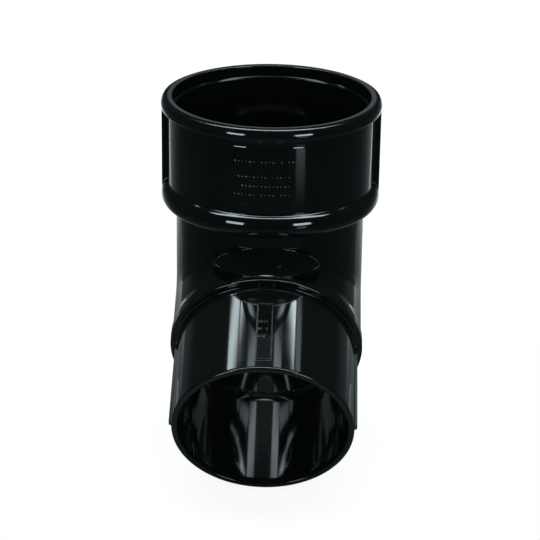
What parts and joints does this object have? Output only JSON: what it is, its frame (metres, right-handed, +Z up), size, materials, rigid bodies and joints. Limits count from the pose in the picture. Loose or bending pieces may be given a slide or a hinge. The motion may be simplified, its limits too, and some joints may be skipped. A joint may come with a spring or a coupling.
{
  "type": "downpipe offset bend",
  "caption": "One-piece 112.5 degree offset bend for a 68 mm round rainwater downpipe: beaded socket above, stepped spigot outlet falling to the front.",
  "frame": {"origin": "centre of the pipe stop at the foot of the socket bore", "axes": "+Z up along the socket bore, out of its mouth; the outlet falls towards -Y at 22.5 degrees below level; X is across the bend, which is the same on both sides"},
  "size_m": [0.079, 0.1156, 0.1301],
  "materials": {
    "body": "moulded black uPVC, high gloss"
  },
  "bodies": {
    "root": {"offset_bend": "body"}
  },
  "joints": []
}
